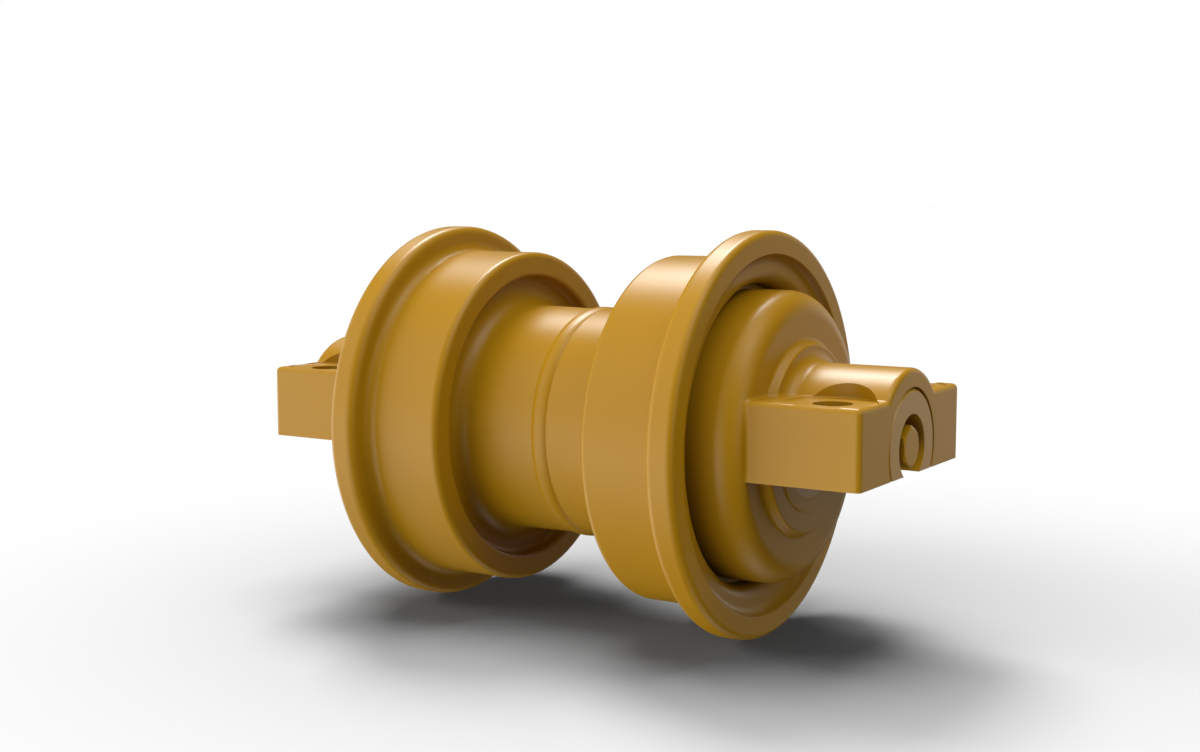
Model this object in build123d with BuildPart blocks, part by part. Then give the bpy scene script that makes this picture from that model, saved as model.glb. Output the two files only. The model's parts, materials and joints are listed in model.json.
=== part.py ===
from build123d import *
import os
from math import cos, radians, tan

# Single flange track roller of a crawler undercarriage, in millimetres.
# The roller turns about Y, the origin is at its middle on that axis, and +Z is up.
# Both ends hold the same pieces: the rear ones (+Y) are the front ones (-Y) turned half round
# about Z. A place along the axis is given as its distance from the middle.

# Shaft, from which all radii are built outwards
shaft_radius = 34.0
shaft_chamfer = 2.3
gallery_radius = 5.0
gallery_past_middle = 6.0
feed_hole_radius = 4.0
centre_drill_radius = 5.0
centre_drill_angle = 60.0

# Flanged bushings
bush_clearance = 0.08
bush_wall = 5.5
bush_length = 62.0
bush_flange_height = 10.4
bush_flange_thickness = 5.0
bush_set_back = 2.0
bush_fit = 0.02
bush_chamfer = 1.0
bush_groove_radius = 1.6
bush_groove_count = 3
end_float = 0.3
hub_set_back = 0.8
chamber_relief = 4.4

# Face seals: two lapped metal rings, each on a rubber ring between two cones
seal_film = 0.1
seal_cone_angle = 10.0
seal_hub_wall = 6.0
seal_ring_play = 2.0
seal_ring_wall = 11.0
seal_rubber_radius = 4.5
seal_rubber_set_back = 8.0
seal_rubber_fit = 0.1
seal_ring_length = 12.0
seal_lip_height = 3.5
seal_lip_thickness = 3.0
seal_lip_relief = 2.0
seal_band_relief = 0.5
seal_pocket_spare = 1.5

# Collar cover
cover_wall = 16.6
cover_stand_out = 20.6
cover_rounding = 14.0
cover_back_rounding = 1.0
disc_margin = 12.6
disc_slope = 2.5
disc_height = 4.8
disc_fillet = 2.5
disc_rounding = 1.6
step_width = 8.5
step_height = 0.8
step_rounding = 0.4

# Collar block and boss
block_length = 66.2
block_root = 7.0
block_top = 29.3
seat_drop = 15.2
boss_wall = 10.7
boss_fillet = 2.5
boss_root_fillet = 7.0
boss_skirt = 0.4
block_rounding = 3.2
bore_clearance = 0.05

# Mounting bolts
bolt_hole_radius = 11.1
bolt_half_spacing = 50.0
bolt_from_end = 26.2
bolt_from_side = 22.9
spotface_radius = 25.0
spotface_depth = 1.0
spotface_fillet = 1.2

# Oil plug in the front end of the shaft
plug_recess_radius = 19.0
plug_recess_depth = 14.0
plug_across_flats = 22.0
plug_chamfer = 1.6
plug_stud_radius = 9.0
plug_stud_length = 15.0
plug_clearance = 0.05
tapped_hole_spare = 3.0
washer_radius = 13.5
washer_thickness = 1.6

# Lock pins, half in the shaft and half in the collar
pin_radius = 6.0
pin_length = 31.0
pin_from_disc = 8.2
pin_bite = 3.0
pin_clearance = 0.04
pin_chamfer = 1.0
pin_set_back = 0.6
pin_hole_spare = 1.0

# Rings between shaft and collar
o_ring_radius = 1.75
o_ring_from_inner_face = 7.0
o_ring_fit = 0.03

# Roller shell, recess round each collar
cover_gap = 3.4
cover_depth = 20.0
cover_end_gap = 1.0
gap_floor_fillet = 1.5
recess_width = 17.4
recess_wall_depth = 5.0
recess_wall_slope = 2.6
recess_rounding = 0.6
recess_fillet = 5.0
lip_slope = 1.2
lip_rounding = 8.0

# Roller shell, outside
rim_width = 13.6
flange_width = 17.2
flange_height = 15.75
flange_outer_rounding = 4.0
flange_inner_rounding = 5.0
tread_width = 50.7
tread_root_fillet = 6.0
tread_rounding = 3.8
tread_wall = 14.75
waist_gap = 100.2
pocket_depth = 8.4
pocket_width = 19.5
pocket_wall_draft = 1.2
pocket_rounding = 2.0
pocket_fillet = 3.5
neck_draft = 1.0
neck_fillet = 10.0

# Weld bead that joins the two halves of the shell
weld_width = 10.0
weld_height = 1.2
weld_rounding = 2.0
weld_depth = 9.0
weld_fit = 0.02

# Places along the axis
tread_start = waist_gap / 2
pocket_floor = tread_start + pocket_depth
flange_back = tread_start + tread_width
shell_end = flange_back + flange_width
lip_plane = shell_end - recess_wall_depth
gap_floor = shell_end - cover_depth
cover_back = gap_floor + cover_end_gap
cover_face = shell_end + cover_stand_out
disc_face = cover_face + disc_height
step_face = disc_face + step_height
block_start = cover_face - block_root
block_end = cover_face + block_length
bolt_place = block_end - bolt_from_end
seal_plane = (gap_floor + cover_back) / 2
bush_end = gap_floor - bush_set_back
bush_shoulder = bush_end - bush_flange_thickness
bush_inner_end = bush_end - bush_length
hub_end = bush_end - hub_set_back
collar_hub = bush_end + end_float
pin_place = disc_face + pin_from_disc
o_ring_place = cover_back + o_ring_from_inner_face

# Radii, from the shaft outwards
collar_bore = shaft_radius + bore_clearance
bush_bore = shaft_radius + bush_clearance
bush_radius = bush_bore + bush_wall
bush_seat = bush_radius + bush_fit
bush_flange_radius = bush_radius + bush_flange_height
chamber_radius = bush_seat + chamber_relief
seal_hub_radius = bush_flange_radius + seal_hub_wall
seal_ring_bore = seal_hub_radius + seal_ring_play
seal_mean_radius = seal_ring_bore + seal_ring_wall
seal_lip_radius = seal_mean_radius + seal_lip_height
cover_radius = seal_mean_radius + cover_wall
gap_radius = cover_radius + cover_gap
recess_radius = gap_radius + recess_width
flange_radius = recess_radius + rim_width
tread_radius = flange_radius - flange_height
pocket_radius = tread_radius - tread_wall
neck_radius = pocket_radius - pocket_width
weld_root = neck_radius - weld_depth
step_radius = shaft_radius + step_width
boss_radius = shaft_radius + boss_wall
disc_radius = boss_radius + disc_margin
o_ring_middle = collar_bore + o_ring_radius
pin_offset = shaft_radius - pin_bite

# Sizes of the block that follow from others
block_half_width = bolt_half_spacing + bolt_from_side
near = 0.01

ends = {"front": -1, "rear": 1}


def meridian(side):
    """Plane through the axis: local x is the radius, local y the distance from the middle."""
    return Plane(origin=(0, 0, 0), x_dir=(-side, 0, 0), z_dir=(0, 0, -1))


def across(side, distance):
    """Plane square to the axis that faces outwards, local x level and local y up."""
    return Plane(origin=(0, side * distance, 0), x_dir=(-side, 0, 0), z_dir=(0, side, 0))


def cone(place, offset):
    """Radius, at a place along the axis, of a seal cone that lies at an offset from the
    middle of the rubber ring. The cones open towards the seal plane."""
    from_plane = abs(place - seal_plane)
    rise = (seal_rubber_set_back - from_plane) * tan(radians(seal_cone_angle))
    return seal_mean_radius + rise + offset / cos(radians(seal_cone_angle))


def save(piece, label):
    piece.part.label = label
    export_step(piece.part, f"parts/{label}.step")


def seal_pocket(outwards):
    """Corners of the pocket that holds one rubber ring, from hub to cone. outwards is 1 in the
    collar and -1 in the shell."""
    back = seal_plane + outwards * (seal_ring_length + seal_pocket_spare)
    mouth = cover_back if outwards > 0 else gap_floor
    outer = seal_rubber_radius + seal_rubber_fit
    return (seal_hub_radius, back), (cone(back, outer), back), (cone(mouth, outer), mouth)


def shell_half(side):
    """Forged half of the shell: flange, tread, pocket and neck outside, bushing seat, seal
    pocket and collar recess inside. A step in its neck holds half of the weld."""
    hub, pocket_back, pocket_mouth = seal_pocket(-1)
    corners = [
        ((chamber_radius, 0), 0),
        ((chamber_radius, bush_inner_end - 2 * chamber_relief), 0),
        ((bush_seat, bush_inner_end - chamber_relief), 0),
        ((bush_seat, bush_shoulder), 0),
        ((bush_flange_radius + bush_fit, bush_shoulder), 0),
        ((bush_flange_radius + bush_fit, hub_end), 0),
        ((seal_hub_radius, hub_end), 0),
        (hub, 0),
        (pocket_back, 0),
        (pocket_mouth, 0),
        ((gap_radius, gap_floor), gap_floor_fillet),
        ((gap_radius, lip_plane - lip_slope), lip_rounding),
        ((recess_radius - recess_wall_slope, lip_plane), recess_fillet),
        ((recess_radius, shell_end), recess_rounding),
        ((flange_radius, shell_end), flange_outer_rounding),
        ((flange_radius, flange_back), flange_inner_rounding),
        ((tread_radius, flange_back), tread_root_fillet),
        ((tread_radius, tread_start), tread_rounding),
        ((pocket_radius, tread_start), pocket_rounding),
        ((pocket_radius - pocket_wall_draft, pocket_floor), pocket_fillet),
        ((neck_radius + neck_draft, pocket_floor), neck_fillet),
        ((neck_radius, weld_width / 2), 0),
        ((weld_root, weld_width / 2), 0),
        ((weld_root, 0), 0),
    ]
    points = [corner for corner, rounding in corners]
    roundings = [rounding for corner, rounding in corners]
    with BuildPart() as half:
        with BuildSketch(meridian(side)):
            with BuildLine():
                FilletPolyline(*points, radius=roundings, close=True)
            make_face()
        revolve(axis=Axis.Y)
    return half


def weld_bead():
    """Ring that fills the groove between the two halves and stands a little proud."""
    with BuildPart() as bead:
        with BuildSketch(Plane.XY):
            with BuildLine():
                FilletPolyline(
                    (weld_root + weld_fit, -weld_width / 2),
                    (neck_radius, -weld_width / 2),
                    (neck_radius + weld_height, -weld_width / 4),
                    (neck_radius + weld_height, weld_width / 4),
                    (neck_radius, weld_width / 2),
                    (weld_root + weld_fit, weld_width / 2),
                    radius=[0, 0, weld_rounding, weld_rounding, 0, 0],
                    close=True,
                )
            make_face()
        revolve(axis=Axis.Y)
    return bead


def bushing(side):
    """Flanged bearing with three oil grooves along its bore."""
    with BuildPart() as bush:
        with BuildSketch(meridian(side)) as wall:
            with BuildLine():
                Polyline(
                    (bush_bore, bush_inner_end),
                    (bush_bore, bush_end),
                    (bush_flange_radius, bush_end),
                    (bush_flange_radius, bush_shoulder),
                    (bush_radius, bush_shoulder),
                    (bush_radius, bush_inner_end),
                    close=True,
                )
            make_face()
            chamfer(wall.vertices().group_by(Axis.Y)[0], bush_chamfer)
        revolve(axis=Axis.Y)
        groove_stop = bush_end - bush_flange_thickness / 2
        with BuildSketch(across(side, bush_inner_end)):
            with PolarLocations(bush_bore, bush_groove_count, start_angle=90):
                Circle(bush_groove_radius)
        extrude(amount=groove_stop - bush_inner_end, mode=Mode.SUBTRACT)
    return bush


def metal_ring(side, outwards):
    """Lapped seal ring: a flat band at the seal plane, a lip, and a cone under the rubber."""
    face = seal_plane + outwards * seal_film / 2
    back = face + outwards * seal_ring_length
    lip = face + outwards * seal_lip_thickness
    inner = -seal_rubber_radius - seal_rubber_fit
    with BuildPart() as ring:
        with BuildSketch(meridian(side)):
            with BuildLine():
                Polyline(
                    (seal_ring_bore, back),
                    (seal_ring_bore, face + outwards * seal_band_relief),
                    (seal_ring_bore + 2 * seal_lip_relief, face),
                    (seal_lip_radius - seal_lip_relief, face),
                    (seal_lip_radius, face + outwards * seal_band_relief),
                    (seal_lip_radius, lip),
                    (cone(lip, inner), lip),
                    (cone(back, inner), back),
                    close=True,
                )
            make_face()
        revolve(axis=Axis.Y)
    return ring


def round_ring(side, middle_radius, place, section_radius):
    """Ring of round section about the axis."""
    with BuildPart() as ring:
        with BuildSketch(meridian(side)):
            with Locations((middle_radius, place)):
                Circle(section_radius)
        revolve(axis=Axis.Y)
    return ring


def pin_centre(side):
    """Middle of the lock pin on the mounting face."""
    return -side * pin_offset, side * pin_place


def boss(side):
    """Half-round boss above the seat, with a wide fillet where it grows out of the disc."""
    skirt = boss_radius + boss_root_fillet + boss_skirt
    with BuildPart() as half_round:
        with BuildSketch(meridian(side)):
            with BuildLine():
                FilletPolyline(
                    (0, block_start),
                    (skirt, block_start),
                    (skirt, disc_face),
                    (boss_radius, disc_face),
                    (boss_radius, block_end),
                    (0, block_end),
                    radius=[0, 0, 0, boss_root_fillet, 0, 0],
                    close=True,
                )
            make_face()
        revolve(axis=Axis.Y)
        split(bisect_by=Plane.XY.offset(-seat_drop), keep=Keep.TOP)
    return half_round


def spotface():
    """Shape that a spotfacing cutter clears, standing on its flat end at the origin."""
    with BuildPart() as cut:
        with BuildSketch(Plane.XY):
            Circle(spotface_radius)
        extrude(amount=boss_radius)
        fillet(cut.faces().sort_by(Axis.Z)[0].edges(), spotface_fillet)
    return cut


def collar(side):
    """End collar: round cover with its seal pocket, raised disc, bolting block and boss."""
    hub, pocket_back, pocket_mouth = seal_pocket(1)
    half_round = boss(side)
    cutter = spotface()
    bolts = [(x, side * bolt_place) for x in (-bolt_half_spacing, bolt_half_spacing)]
    with BuildPart() as body:
        with BuildSketch(meridian(side)):
            with BuildLine():
                FilletPolyline(
                    (collar_bore, collar_hub),
                    (seal_hub_radius, collar_hub),
                    hub,
                    pocket_back,
                    pocket_mouth,
                    (cover_radius, cover_back),
                    (cover_radius, cover_face),
                    (disc_radius, cover_face),
                    (disc_radius - disc_slope, disc_face),
                    (step_radius, disc_face),
                    (step_radius, step_face),
                    (collar_bore, step_face),
                    radius=[0, 0, 0, 0, 0, cover_back_rounding, cover_rounding, disc_fillet,
                            disc_rounding, 0, step_rounding, 0],
                    close=True,
                )
            make_face()
        revolve(axis=Axis.Y)

        with BuildSketch(across(side, block_start)) as outline:
            Circle(boss_radius)
            with Locations((0, (block_top - seat_drop) / 2)):
                Rectangle(2 * block_half_width, block_top + seat_drop)
            with Locations((0, -seat_drop)):
                Rectangle(4 * boss_radius, 2 * boss_radius, align=(Align.CENTER, Align.MAX),
                          mode=Mode.SUBTRACT)
            top = outline.vertices().filter_by(lambda v: abs(v.Y - block_top) < near)
            fillet(top.sort_by(Axis.X)[1:-1], boss_fillet)
            top = outline.vertices().filter_by(lambda v: abs(v.Y - block_top) < near)
            fillet([top.sort_by(Axis.X)[0], top.sort_by(Axis.X)[-1]], block_rounding)
        extrude(amount=block_end - block_start)
        add(half_round.part)
        outer = body.edges().filter_by(lambda e: abs(abs(e.center().Y) - block_end) < near)
        fillet(outer.filter_by(lambda e: e.center().Z > near - seat_drop), block_rounding)

        with BuildSketch(across(side, collar_hub)):
            Circle(collar_bore)
        extrude(amount=block_end - collar_hub, mode=Mode.SUBTRACT)
        with BuildSketch(meridian(side)):
            with Locations((collar_bore, o_ring_place)):
                Rectangle(2 * (2 * o_ring_radius + o_ring_fit), 2 * (o_ring_radius + o_ring_fit))
        revolve(axis=Axis.Y, mode=Mode.SUBTRACT)

        for x, y in bolts:
            with Locations((x, y, block_top - spotface_depth)):
                add(cutter.part, mode=Mode.SUBTRACT)
        with BuildSketch(Plane.XY.offset(-seat_drop)):
            with Locations(*bolts):
                Circle(bolt_hole_radius)
        extrude(amount=block_top + seat_drop, mode=Mode.SUBTRACT)
        with BuildSketch(Plane.XY.offset(-seat_drop)):
            with Locations(pin_centre(side)):
                Circle(pin_radius + pin_clearance)
        extrude(amount=pin_set_back + pin_length + pin_hole_spare, mode=Mode.SUBTRACT)
    return body


def shaft():
    """Fixed shaft: flats at both ends, oil gallery from the front end, pin holes."""
    with BuildPart() as axle:
        with BuildSketch(Plane.XZ.offset(block_end)):
            Circle(shaft_radius)
        extrude(amount=-2 * block_end)
        chamfer(axle.edges().filter_by(GeomType.CIRCLE), shaft_chamfer)
        for side in ends.values():
            with BuildSketch(across(side, step_face)):
                with Locations((0, -seat_drop)):
                    Rectangle(2 * shaft_radius, shaft_radius, align=(Align.CENTER, Align.MAX))
            extrude(amount=block_length, mode=Mode.SUBTRACT)
            with BuildSketch(Plane.XY.offset(-seat_drop)):
                with Locations(pin_centre(side)):
                    Circle(pin_radius + pin_clearance)
            extrude(amount=pin_set_back + pin_length + pin_hole_spare, mode=Mode.SUBTRACT)

        front = across(-1, block_end)
        with BuildSketch(front):
            Circle(plug_recess_radius)
        extrude(amount=-plug_recess_depth, mode=Mode.SUBTRACT)
        with BuildSketch(front.offset(-plug_recess_depth)):
            Circle(plug_stud_radius + plug_clearance)
        extrude(amount=-plug_stud_length - tapped_hole_spare, mode=Mode.SUBTRACT)
        with BuildSketch(front.offset(-plug_recess_depth)):
            Circle(gallery_radius)
        extrude(amount=plug_recess_depth - block_end - gallery_past_middle, mode=Mode.SUBTRACT)
        with BuildSketch(Plane.XY.offset(-shaft_radius)):
            Circle(feed_hole_radius)
        extrude(amount=2 * shaft_radius, mode=Mode.SUBTRACT)

        drill_depth = centre_drill_radius / tan(radians(centre_drill_angle / 2))
        with BuildSketch(meridian(1)):
            with BuildLine():
                Polyline(
                    (0, block_end),
                    (centre_drill_radius, block_end),
                    (0, block_end - drill_depth),
                    close=True,
                )
            make_face()
        revolve(axis=Axis.Y, mode=Mode.SUBTRACT)
    return axle


def oil_plug():
    """Hexagon head screw that closes the oil gallery."""
    seat = block_end - plug_recess_depth + washer_thickness
    point_radius = plug_across_flats / 2 / cos(radians(30))
    with BuildPart() as plug:
        with BuildSketch(across(-1, seat)):
            RegularPolygon(point_radius, 6, rotation=90)
        extrude(amount=block_end - seat)
        with BuildSketch(meridian(-1)):
            with BuildLine():
                Polyline(
                    (plug_across_flats / 2 - plug_chamfer / 2, block_end),
                    (point_radius + plug_chamfer, block_end),
                    (point_radius + plug_chamfer, block_end - plug_chamfer),
                    close=True,
                )
            make_face()
        revolve(axis=Axis.Y, mode=Mode.SUBTRACT)
        with BuildSketch(across(-1, seat)):
            Circle(plug_stud_radius)
        extrude(amount=-plug_stud_length)
        chamfer(plug.faces().sort_by(Axis.Y)[-1].edges(), plug_chamfer)
    return plug


def plug_washer():
    """Flat ring under the plug's head."""
    with BuildPart() as washer:
        with BuildSketch(across(-1, block_end - plug_recess_depth)):
            Circle(washer_radius)
            Circle(plug_stud_radius + plug_clearance, mode=Mode.SUBTRACT)
        extrude(amount=washer_thickness)
    return washer


def lock_pin(side):
    """Round pin that sits half in the shaft and half in the collar."""
    with BuildPart() as pin:
        with BuildSketch(Plane.XY.offset(pin_set_back - seat_drop)):
            with Locations(pin_centre(side)):
                Circle(pin_radius)
        extrude(amount=pin_length)
        chamfer(pin.edges().filter_by(GeomType.CIRCLE), pin_chamfer)
    return pin


os.makedirs("parts", exist_ok=True)
save(weld_bead(), "weld_bead")
save(shaft(), "shaft")
save(oil_plug(), "oil_plug")
save(plug_washer(), "plug_washer")
for end, side in ends.items():
    save(shell_half(side), f"{end}_shell_half")
    save(collar(side), f"{end}_collar")
    save(bushing(side), f"{end}_bushing")
    save(lock_pin(side), f"{end}_lock_pin")
    save(round_ring(side, o_ring_middle, o_ring_place, o_ring_radius), f"{end}_shaft_o_ring")
    for name, outwards in {"rotating": -1, "fixed": 1}.items():
        rubber_place = seal_plane + outwards * seal_rubber_set_back
        rubber = round_ring(side, seal_mean_radius, rubber_place, seal_rubber_radius)
        save(rubber, f"{end}_{name}_toric")
        save(metal_ring(side, outwards), f"{end}_{name}_seal_ring")
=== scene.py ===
import bpy
import json
import math
import numpy as np
from mathutils import Matrix, Vector


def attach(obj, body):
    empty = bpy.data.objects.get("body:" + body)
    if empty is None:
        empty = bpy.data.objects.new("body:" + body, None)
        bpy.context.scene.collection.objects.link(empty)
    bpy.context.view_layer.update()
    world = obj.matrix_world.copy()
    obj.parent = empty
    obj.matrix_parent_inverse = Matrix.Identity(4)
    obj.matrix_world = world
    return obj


# Single flange track roller, dressed in satin ochre paint, on a pale floor.
# Metres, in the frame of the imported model: Y along the roller, Z up, mounting faces down.

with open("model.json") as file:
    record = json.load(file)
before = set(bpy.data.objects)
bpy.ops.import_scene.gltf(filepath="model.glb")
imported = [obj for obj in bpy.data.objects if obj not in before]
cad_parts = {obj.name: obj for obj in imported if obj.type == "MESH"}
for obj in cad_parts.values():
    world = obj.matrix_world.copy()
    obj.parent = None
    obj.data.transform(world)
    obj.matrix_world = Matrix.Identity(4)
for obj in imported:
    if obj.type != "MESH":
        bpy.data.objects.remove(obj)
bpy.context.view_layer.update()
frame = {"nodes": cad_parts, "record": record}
nodes = frame["nodes"]
print("frame loaded:", len(nodes), "nodes")

mm = 0.001
white = (1.0, 1.0, 1.0, 1.0)
black = (0.0, 0.0, 0.0, 1.0)


# shader maths: wraps a node socket, so that + - * on it add Math nodes
class Signal:
    def __init__(self, bench, socket):
        self.bench = bench
        self.socket = socket

    def __add__(self, other):
        return self.bench.maths("ADD", self, other)

    def __radd__(self, other):
        return self.bench.maths("ADD", other, self)

    def __sub__(self, other):
        return self.bench.maths("SUBTRACT", self, other)

    def __rsub__(self, other):
        return self.bench.maths("SUBTRACT", other, self)

    def __mul__(self, other):
        return self.bench.maths("MULTIPLY", self, other)

    def __rmul__(self, other):
        return self.bench.maths("MULTIPLY", other, self)


# a node tree being built
class Bench:
    def __init__(self, tree):
        self.tree = tree

    def plug(self, socket, value):
        if isinstance(value, Signal):
            self.tree.links.new(value.socket, socket)
        else:
            socket.default_value = value

    # any node, from its type, its settings and the values or links of its sockets
    def node(self, kind, settings, values, output=0):
        made = self.tree.nodes.new(kind)
        for key, value in settings.items():
            setattr(made, key, value)
        for key, value in values.items():
            self.plug(made.inputs[key], value)
        return Signal(self, made.outputs[output])

    def maths(self, operation, first, second=0.0):
        return self.node("ShaderNodeMath", {"operation": operation}, {0: first, 1: second})

    # the three parts of a vector
    def axes(self, vector):
        split = self.node("ShaderNodeSeparateXYZ", {}, {0: vector})
        return [Signal(self, socket) for socket in split.socket.node.outputs]

    def noise(self, place, scale, detail=2.0):
        return self.node("ShaderNodeTexNoise", {}, {
            "Vector": place, "Scale": scale, "Detail": detail})

    # straight-line change of range, held at both ends
    def spread(self, signal, fromLow, fromHigh, toLow=0.0, toHigh=1.0):
        return self.node("ShaderNodeMapRange", {"clamp": True}, {
            "Value": signal, "From Min": fromLow, "From Max": fromHigh,
            "To Min": toLow, "To Max": toHigh})

    # colour between two colours: sockets 6 and 7 of the Mix node, and its output 2
    def blend(self, factor, first, second):
        return self.node("ShaderNodeMix", {"data_type": "RGBA"}, {
            0: factor, 6: first, 7: second}, 2)

    def cameraSees(self):
        return self.node("ShaderNodeLightPath", {}, {}, "Is Camera Ray")


# one procedural material on Object coordinates
class Finish(Bench):
    def __init__(self, name):
        self.material = bpy.data.materials.new(name)
        self.material.use_nodes = True
        super().__init__(self.material.node_tree)
        self.shader = self.tree.nodes["Principled BSDF"]
        self.place = self.node("ShaderNodeTexCoord", {}, {}, "Object")
        self.across, self.along, self.up = self.axes(self.place)

    # distance from the roller's axis
    def radius(self):
        return self.maths("SQRT", self.across * self.across + self.up * self.up)

    # fine rings round the axis: noise read by radius and place along the axis only
    def lathe(self, scale):
        ring = self.node("ShaderNodeCombineXYZ", {}, {0: self.radius(), 1: self.along, 2: 0.0})
        return self.noise(ring, scale, detail=1.0)

    def set(self, **inputs):
        for key, value in inputs.items():
            self.plug(self.shader.inputs[key.replace("_", " ")], value)
        return self

    # depth is the real height of the relief, in metres
    def bump(self, height, depth):
        return self.set(Normal=self.node("ShaderNodeBump", {}, {
            "Strength": 1.0, "Distance": depth, "Height": height}))


# satin paint
paintLook = {
    "colour": (0.31, 0.156, 0.0037, 1.0),
    "thinColour": (0.302, 0.151, 0.0034, 1.0),  # where the coat is a little thinner
    "cloudScale": 14.0,                         # cloudy change of tone, per metre
    "cloudRange": (0.35, 0.65),                 # part of the cloud that changes the tone
    "peelScale": 420.0,                         # orange peel, per metre
    "peelDepth": 0.012 * mm,
    "peelShare": 0.2,                           # how much of the peel goes into the gloss
    "glossRange": (0.4, 0.8),                   # part of cloud and peel that changes the gloss
    "roughness": (0.3, 0.34),
    "shine": 0.195,                             # specular level
}


# cloudy tone, gloss and faint orange peel
def paintCoat(finish, look):
    cloud = finish.noise(finish.place, look["cloudScale"], detail=3.0)
    peel = finish.noise(finish.place, look["peelScale"], detail=1.0)
    thick = finish.spread(cloud, *look["cloudRange"])
    tone = finish.blend(thick, look["thinColour"], look["colour"])
    sheen = cloud + look["peelShare"] * peel
    gloss = finish.spread(sheen, *look["glossRange"], *look["roughness"])
    return tone, gloss, peel


def rollerPaint(name, look):
    finish = Finish(name)
    tone, gloss, peel = paintCoat(finish, look)
    finish.set(Base_Color=tone, Roughness=gloss, Specular_IOR_Level=look["shine"])
    return finish.bump(peel, look["peelDepth"])


# shaft
shaftLook = {
    "paintFrom": 0.1435,                        # distance from the middle where the paint starts
    "paintEdge": 0.5 * mm,                      # how soft the paint's edge is
    "steel": (0.42, 0.42, 0.43, 1.0),
    "grindScale": 2600.0,
    "grindDepth": 0.004 * mm,
    "roughness": 0.22,
}


# ground steel inside, painted where the ends show
def shaftFinish(name, look, paint):
    finish = Finish(name)
    tone, gloss, peel = paintCoat(finish, paint)
    place = finish.maths("ABSOLUTE", finish.along)
    painted = finish.spread(place, look["paintFrom"], look["paintFrom"] + look["paintEdge"])
    finish.set(
        Base_Color=finish.blend(painted, look["steel"], tone),
        Metallic=1.0 - painted,
        Roughness=painted * gloss + (1.0 - painted) * look["roughness"],
    )
    return finish.bump(finish.lathe(look["grindScale"]), look["grindDepth"])


# bare metals
metalLooks = {
    "lappedSteel": {"colour": (0.5, 0.5, 0.51, 1.0), "dark": (0.33, 0.33, 0.34, 1.0),
                    "rings": 1500.0, "roughness": (0.16, 0.34), "depth": 0.006 * mm},
    "bushBronze": {"colour": (0.6, 0.4, 0.19, 1.0), "dark": (0.42, 0.26, 0.11, 1.0),
                   "rings": 900.0, "roughness": (0.28, 0.45), "depth": 0.01 * mm},
    "pinSteel": {"colour": (0.38, 0.38, 0.39, 1.0), "dark": (0.24, 0.24, 0.25, 1.0),
                 "rings": 2100.0, "roughness": (0.25, 0.4), "depth": 0.006 * mm},
    "washerCopper": {"colour": (0.72, 0.37, 0.2, 1.0), "dark": (0.45, 0.2, 0.1, 1.0),
                     "rings": 1200.0, "roughness": (0.3, 0.5), "depth": 0.008 * mm},
}
tarnishLook = {
    "scale": 60.0, "detail": 4.0,
    "range": (0.35, 0.7),                       # part of the noise that darkens the metal
    "shares": (0.6, 0.4),                       # of the rings and the tarnish in the roughness
    "wearRange": (0.3, 0.7),
}


# lathe rings and a cloudy tarnish
def turnedMetal(name, look, patina):
    finish = Finish(name)
    rings = finish.lathe(look["rings"])
    cloud = finish.noise(finish.place, patina["scale"], detail=patina["detail"])
    tarnish = finish.spread(cloud, *patina["range"])
    ringShare, tarnishShare = patina["shares"]
    wear = rings * ringShare + tarnish * tarnishShare
    finish.set(
        Base_Color=finish.blend(tarnish, look["colour"], look["dark"]),
        Metallic=1.0,
        Roughness=finish.spread(wear, *patina["wearRange"], *look["roughness"]),
    )
    return finish.bump(rings, look["depth"])


# rubber
rubberLook = {
    "colour": (0.018, 0.018, 0.019, 1.0),
    "bloom": (0.045, 0.045, 0.044, 1.0),
    "bloomScale": 90.0, "bloomDetail": 4.0, "bloomRange": (0.4, 0.75),
    "bloomShare": 0.3,                          # how much of the bloom goes into the roughness
    "grain": 1800.0, "grainRange": (0.3, 0.9),
    "roughness": (0.55, 0.8),
    "depth": 0.01 * mm,
}


# matt rubber with a faint bloom
def blackRubber(name, look):
    finish = Finish(name)
    cloud = finish.noise(finish.place, look["bloomScale"], detail=look["bloomDetail"])
    bloom = finish.spread(cloud, *look["bloomRange"])
    grain = finish.noise(finish.place, look["grain"])
    wear = grain + bloom * look["bloomShare"]
    finish.set(
        Base_Color=finish.blend(bloom, look["colour"], look["bloom"]),
        Roughness=finish.spread(wear, *look["grainRange"], *look["roughness"]),
    )
    return finish.bump(grain, look["depth"])


finishes = {
    "shell_paint": rollerPaint("shellPaint", paintLook),
    "collar_paint": rollerPaint("collarPaint", paintLook),
    "plug_paint": rollerPaint("plugPaint", paintLook),
    "shaft_paint": shaftFinish("shaftPaint", shaftLook, paintLook),
    "lapped_steel": turnedMetal("lappedSteel", metalLooks["lappedSteel"], tarnishLook),
    "bush_bronze": turnedMetal("bushBronze", metalLooks["bushBronze"], tarnishLook),
    "pin_steel": turnedMetal("pinSteel", metalLooks["pinSteel"], tarnishLook),
    "washer_copper": turnedMetal("washerCopper", metalLooks["washerCopper"], tarnishLook),
    "toric_rubber": blackRubber("toricRubber", rubberLook),
    "ring_rubber": blackRubber("ringRubber", rubberLook),
}
for part in frame["record"]["subparts"]:
    mesh = nodes[part["node"]].data
    mesh.materials.clear()
    mesh.materials.append(finishes[part["material_slot"]].material)
print("finishes made:", len(finishes))


# an object in the scene
def putIn(name, data):
    made = bpy.data.objects.new(name, data)
    bpy.context.scene.collection.objects.link(made)
    return made


# a smooth piece that rides on its body and takes the slot's finish; points in millimetres
def addPiece(name, points, faces, body, slotName):
    mesh = bpy.data.meshes.new(name)
    mesh.from_pydata((points * mm).tolist(), [], faces)
    mesh.validate()
    mesh.polygons.foreach_set("use_smooth", np.ones(len(mesh.polygons), bool))
    mesh.materials.append(finishes[slotName].material)
    piece = putIn(name, mesh)
    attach(piece, body)


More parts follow.
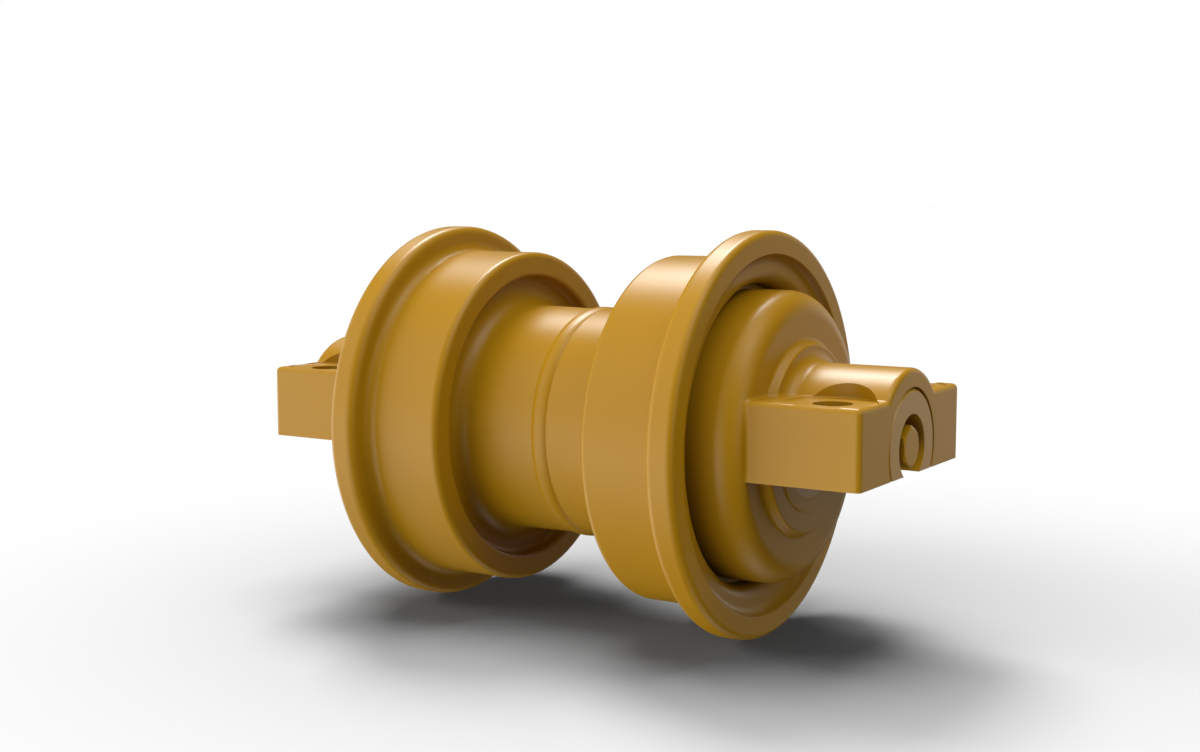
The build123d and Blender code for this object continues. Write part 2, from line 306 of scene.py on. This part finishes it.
# casting fillets, where each collar's bolting block runs into its round cover, disc and boss
castFillet = {                                  # millimetres, from the collar as it was built
    "ball": 2.3,                                # radius of the fillet
    "halfWidth": 72.9,                          # of the bolting block
    "top": 29.3,
    "seat": -15.18,                             # just above the mounting face
    "edgeRounding": 3.2,
    "coverRadius": 85.58,
    "coverFace": 138.6,                         # from the middle of the roller
    "coverRounding": 14.0,
    "discFoot": 57.3,                           # radii of the disc, which is a little conical
    "discTop": 54.8,
    "discFace": 143.4,
    "footFillet": 2.5,
    "discRounding": 1.6,
    "bossRadius": 44.7,
    "bossFillet": 7.0,
    "rows": 300,                                # along the fillet
    "steps": 10,                                # across its hollow
    "turnWeight": 12.0,                         # more rows where the ball turns on the spot
    "flapLength": 0.3,                          # edges that run on past the touching points
    "flapDepth": 0.06,                          # and dip into the metal
    "core": 0.8,                                # depth of the tube's back in the metal
}
rollingSteps = {                                # how finely the ball's way is worked out
    "cover": 900, "foot": 300, "lip": 200, "boss": 500, "edge": 400,   # points on each arc
    "gap": 0.02, "topGap": 0.003,               # between the points of a straight line
    "batches": 60,                              # worked out in turn, to save memory
}


# points of an arc, from one angle to another in degrees
def arc(middle, radius, start, end, count):
    angles = np.radians(np.linspace(start, end, count))
    return np.stack([middle[0] + radius * np.cos(angles), middle[1] + radius * np.sin(angles)], -1)


# points of a straight line, about one gap apart
def line(start, end, gap):
    return np.linspace(start, end, 2 + int(math.dist(start, end) / gap))


# (radius, distance) points of the collar's outer face, from the cover's rim to the boss: rim,
# face, fillet, sloping wall of the disc, its rounding, its face and the boss's fillet
def collarMeridian(look, steps):
    face, rounding, foot = look["coverFace"], look["coverRounding"], look["footFillet"]
    top, lip, bend = look["discFace"], look["discRounding"], look["bossFillet"]
    slope = math.degrees(math.atan2(look["discFoot"] - look["discTop"], top - face))
    reach = math.tan(math.radians((90 - slope) / 2))     # of a rounding with radius 1
    rim = look["coverRadius"] - rounding
    wallStart = look["discFoot"] + foot * reach
    wallEnd = look["discTop"] - lip * reach
    bossStart = look["bossRadius"] + bend
    wallFoot = arc((wallStart, face + foot), foot, 270, 180 + slope, steps["foot"])
    wallLip = arc((wallEnd, top - lip), lip, slope, 90, steps["lip"])
    return np.concatenate([
        arc((rim, face - rounding), rounding, 0, 90, steps["cover"]),
        line((rim, face), (wallStart, face), steps["gap"]),
        wallFoot,
        line(wallFoot[-1], wallLip[0], steps["gap"]),
        wallLip,
        line((wallEnd, top), (bossStart, top), steps["gap"]),
        arc((bossStart, top + bend), bend, 270, 180, steps["boss"]),
    ])


# (level, up) points round one side and half the top of the block, with their normals
def blockOutline(look, steps):
    inner = look["halfWidth"] - look["edgeRounding"]
    low = look["top"] - look["edgeRounding"]
    turn = np.linspace(0, math.pi / 2, steps["edge"])
    outwards = np.stack([np.cos(turn), np.sin(turn)], -1)
    last = math.sqrt((look["bossRadius"] + look["ball"]) ** 2 - (look["top"] + look["ball"]) ** 2)
    side = line((look["halfWidth"], look["seat"]), (look["halfWidth"], low), steps["gap"])
    edge = np.array([inner, low]) + look["edgeRounding"] * outwards
    top = line((inner, look["top"]), (last, look["top"]), steps["topGap"])
    points = np.concatenate([side, edge, top])
    normals = np.concatenate([
        np.tile((1.0, 0.0), (len(side), 1)),
        outwards,
        np.tile((0.0, 1.0), (len(top), 1)),
    ])
    return points, normals


# Rows of points, as (level, up, distance), of the fillet that a ball leaves when it rolls in
# the corner between the block and the round collar. The ball's middle stands one radius off the
# block, and as far out as the collar's meridian pushes it: for each point of the meridian that
# is distance + sqrt(ball ** 2 - difference of radii ** 2), and the largest counts. A row runs on
# the ball from where it touches the block to where it touches the collar, then back through the
# metal.
def rolledFillet(look, steps):
    ball = look["ball"]
    meridian = collarMeridian(look, steps)
    points, normals = blockOutline(look, steps)
    middles = points + ball * normals
    radii = np.hypot(*middles.T)
    outs, feet = np.empty(len(radii)), np.empty((len(radii), 2))
    for batch in np.array_split(np.arange(len(radii)), steps["batches"]):
        apart = ball ** 2 - (radii[batch, None] - meridian[None, :, 0]) ** 2
        reach = np.where(apart < 0, -np.inf, meridian[None, :, 1] + np.sqrt(np.maximum(apart, 0)))
        outs[batch] = reach.max(1)
        feet[batch] = meridian[reach.argmax(1)]
    centre = np.column_stack([middles, outs])
    onBlock = np.column_stack([points, outs])
    onCollar = np.column_stack([middles * (feet[:, 0] / radii)[:, None], feet[:, 1]])

    # rows an even walk apart, where the ball's own turning counts as walking
    turned = look["turnWeight"] * (onCollar - centre) / ball
    ways = (onBlock, onCollar, turned)
    walked = sum(np.linalg.norm(np.diff(way, axis=0), axis=1) for way in ways)
    walked = np.concatenate([[0], np.cumsum(walked)])
    picks = np.unique(np.searchsorted(walked, np.linspace(0, walked[-1], look["rows"])))
    centre, onBlock, onCollar = centre[picks], onBlock[picks], onCollar[picks]

    # hollow between the two touching points, at an even turning speed
    first, last = (onBlock - centre) / ball, (onCollar - centre) / ball
    sweep = np.arccos(np.clip((first * last).sum(1), -1, 1))[:, None]
    share = np.linspace(0, 1, look["steps"])[:, None, None]
    bow = (first * np.sin((1 - share) * sweep) + last * np.sin(share * sweep)) / np.sin(sweep)

    # flaps that run on into the metal, and the back of the tube behind the corner
    pastBlock = (first * np.cos(sweep) - last) / np.sin(sweep)
    pastCollar = (last * np.cos(sweep) - first) / np.sin(sweep)
    corner = centre + ball * (first + last) / (1 + np.cos(sweep))
    inwards = (first + last) / np.linalg.norm(first + last, axis=1)[:, None]
    rows = np.concatenate([
        [onBlock + look["flapLength"] * pastBlock + look["flapDepth"] * first],
        centre + ball * bow,
        [onCollar + look["flapLength"] * pastCollar + look["flapDepth"] * last,
         corner + look["core"] * inwards],
    ]).transpose(1, 0, 2)
    rows[..., 1] = np.maximum(rows[..., 1], look["seat"])
    return rows


# both fillets of one end: closed tubes, one mirrored to the other side of the block, where the
# faces' order is turned round too
def castingFillets(side, rows):
    count, across = rows.shape[:2]
    ids = np.arange(count * across).reshape(count, across)
    after = np.roll(ids, -1, axis=1)
    quads = np.stack([ids[:-1], ids[1:], after[1:], after[:-1]], -1).reshape(-1, 4)
    points, faces = [], []
    for hand in (1, -1):
        start = count * across * len(points)
        order = 1 if hand * side > 0 else -1
        points.append((rows * (hand, 1, side))[..., (0, 2, 1)].reshape(-1, 3))
        faces += (quads + start)[:, ::order].tolist()
        faces += [(ids[0, ::-order] + start).tolist(), (ids[-1, ::order] + start).tolist()]
    return np.concatenate(points), faces


filletRows = rolledFillet(castFillet, rollingSteps)
for end, side in {"front": -1, "rear": 1}.items():
    points, faces = castingFillets(side, filletRows)
    addPiece(end + "CastingFillets", points, faces, "axle", "collar_paint")
print("casting fillets laid:", 2 * len(filletRows), "rows at each end")


# weld crown
weldCrown = {                                   # millimetres
    "halfWidth": 5.25,
    "foot": 69.9,                               # radius where the crown leaves the waist
    "height": 1.5,
    "depth": 1.0,                               # how far it reaches into the metal
    "fullness": 2.4,                            # 2 is a parabola, more is flatter on top
    "across": 61, "round": 288,                 # points of the ring's section and its turn
}


# The rounded top of the weld bead: a ring round the axis. Its height over the waist is
# height * (1 - |place across the bead| ** fullness), and it is closed inside the metal.
def crownRing(look):
    side = np.linspace(-1, 1, look["across"])
    height = look["height"] * (1 - np.abs(side) ** look["fullness"])
    top = np.stack([look["halfWidth"] * side, look["foot"] + height], -1)
    root = look["foot"] - look["depth"]
    under = [(look["halfWidth"], root), (-look["halfWidth"], root)]
    along, radius = np.concatenate([top, under]).T
    turn = np.linspace(0, 2 * math.pi, look["round"], endpoint=False)[:, None]
    ring = np.broadcast_arrays(radius * np.cos(turn), along, radius * np.sin(turn))
    points = np.stack(ring, -1)
    near = np.arange(points[..., 0].size).reshape(points.shape[:2])
    far = np.roll(near, -1, axis=0)
    quads = np.stack([near, np.roll(near, -1, axis=1), np.roll(far, -1, axis=1), far], -1)
    return points.reshape(-1, 3), quads.reshape(-1, 4).tolist()


points, faces = crownRing(weldCrown)
addPiece("weldCrown", points, faces, "roller", "shell_paint")
print("weld crown laid:", len(faces), "faces")


# camera
viewLook = {
    "place": (-0.873162, -0.54654, 0.1405008),
    "back": (-0.8422478, -0.52811922, 0.10820693),       # from the object to the camera
    "lens": 50.0,                                        # millimetres, as the sensor is
    "sensor": 36.0,
    "farthest": 200.0,
}


def placeCamera(look):
    camera = bpy.data.cameras.new("camera")
    camera.lens = look["lens"]
    camera.sensor_width = look["sensor"]
    camera.clip_end = look["farthest"]
    back = Vector(look["back"]).normalized()
    right = Vector((0, 0, 1)).cross(back).normalized()
    turned = Matrix((right, back.cross(right), back)).transposed().to_4x4()
    made = putIn("camera", camera)
    made.matrix_world = Matrix.Translation(look["place"]) @ turned
    bpy.context.scene.camera = made
    bpy.context.scene.view_settings.view_transform = "Standard"


placeCamera(viewLook)


# floor
floorLook = {
    "height": -0.12,
    "size": 60.0,
    "colour": (0.05, 0.05, 0.05, 1.0),
    "glow": 0.028,                              # keeps the core of the shadow from going black
    "paintedShadow": 0.5,                               # how much the painted shadow darkens the floor in the middle
    "paintedShadowMiddle": (0.054, -0.026),
    "paintedShadowReach": 0.265,
    "paintedShadowFalloff": 1.54,                       # 2 is a bell curve, less is more pointed
}


# A pale floor with a soft painted shadow: a darker patch, its depth * exp(-(distance / reach) **
# falloff), painted round a point under the roller. Only the camera sees it, so the studio's lower
# lamps shine through it onto the object.
def floorFinish(name, look):
    finish = Finish(name)
    # painted shadow: the floor's colour is darkened round a middle point under the roller
    easting = finish.across - look["paintedShadowMiddle"][0]
    northing = finish.along - look["paintedShadowMiddle"][1]
    distance = finish.maths("SQRT", easting * easting + northing * northing)
    drop = finish.maths("POWER", distance * (1 / look["paintedShadowReach"]), look["paintedShadowFalloff"])
    fade = finish.maths("EXPONENT", -1.0 * drop)
    finish.set(
        Base_Color=finish.blend(fade * look["paintedShadow"], look["colour"], black),
        Roughness=1.0,
        Specular_IOR_Level=0.0,
        Emission_Color=white,
        Emission_Strength=look["glow"],
    )
    clear = finish.node("ShaderNodeBsdfTransparent", {}, {})
    painted = Signal(finish, finish.shader.outputs[0])
    mixed = finish.node("ShaderNodeMixShader", {}, {
        0: finish.cameraSees(), 1: clear, 2: painted})
    finish.plug(finish.tree.nodes["Material Output"].inputs["Surface"], mixed)
    return finish


def layFloor(look):
    half, height = look["size"] / 2, look["height"]
    corners = [(x * half, y * half, height) for x, y in ((-1, -1), (1, -1), (1, 1), (-1, 1))]
    mesh = bpy.data.meshes.new("floor")
    mesh.from_pydata(corners, [], [(0, 1, 2, 3)])
    mesh.materials.append(floorFinish("floorPaint", look).material)
    return putIn("floor", mesh)


floor = layFloor(floorLook)
print("camera placed, floor laid")


# studio
studioLook = {
    "backdrop": 1.0,                            # what the camera sees behind the floor
    "power": 1.6,                               # of all lamps together
    "lamps": (                                  # from where, brightness, narrowness
        ((0.48, 0.33, 0.82), 18.0, 48.0),       # softbox above, a little behind
        ((-0.08, -0.22, 0.97), 1.8, 8.0),       # wide panel overhead
        ((-0.05, -0.62, 0.78), 2.3, 22.0),      # panel above the near end
        ((-0.6, 0.52, 0.61), 1.25, 11.0),       # panel above the far end
        ((-0.25, 0.95, -0.17), 2.3, 6.5),       # broad glow behind the far end
        ((-0.94, 0.25, -0.22), 2.35, 6.5),      # broad fill from the left
        ((-0.05, -0.97, 0.2), 1.3, 20.0),       # weak fill on the near end
        ((0.99, -0.17, 0.0), 0.75, 22.0),       # edge light from the right
        ((0.26, -0.26, -0.93), 0.9, 19.0),      # weak glow from below
    ),
    "floorLamps": (                             # from where, strength, width in degrees
        ((0.43, 0.46, 0.78), 29.6, 21.0),
        ((0.1, 0.11, 0.99), 30.1, 45.0),
        ((-0.61, 0.66, 0.44), 7.2, 21.0),
    ),
}


# soft lamps far away, each a round glow: brightness * (cosine of the angle from its middle) **
# narrowness
def studio(look):
    world = bpy.data.worlds.new("studio")
    world.use_nodes = True
    bpy.context.scene.world = world
    sky = Bench(world.node_tree)
    direction = sky.node("ShaderNodeTexCoord", {}, {}, "Generated")
    glow = 0.0
    for place, brightness, narrowness in look["lamps"]:
        facing = sky.node("ShaderNodeVectorMath", {"operation": "DOT_PRODUCT"}, {
            0: direction, 1: Vector(place).normalized()}, "Value")
        spot = sky.maths("POWER", sky.maths("MAXIMUM", facing, 0.0), narrowness)
        glow = spot * brightness + glow
    seen = sky.cameraSees()
    background = world.node_tree.nodes["Background"].inputs
    sky.plug(background["Color"], white)
    shine = glow * look["power"] * (1.0 - seen) + seen * look["backdrop"]
    sky.plug(background["Strength"], shine)


# soft suns that light the floor only, so that its shadow is darker than the object's shade
def floorLamps(look, floor):
    lit = bpy.data.collections.new("litFloor")
    lit.objects.link(floor)
    for count, (place, strength, width) in enumerate(look["floorLamps"]):
        lamp = bpy.data.lights.new(f"floorLamp{count}", "SUN")
        lamp.energy = strength
        lamp.angle = math.radians(width)
        made = putIn(lamp.name, lamp)
        made.rotation_euler = Vector(place).to_track_quat("Z", "Y").to_euler()
        made.light_linking.receiver_collection = lit


studio(studioLook)
floorLamps(studioLook, floor)
print("studio lit:", len(studioLook["lamps"]) + len(studioLook["floorLamps"]), "lamps")
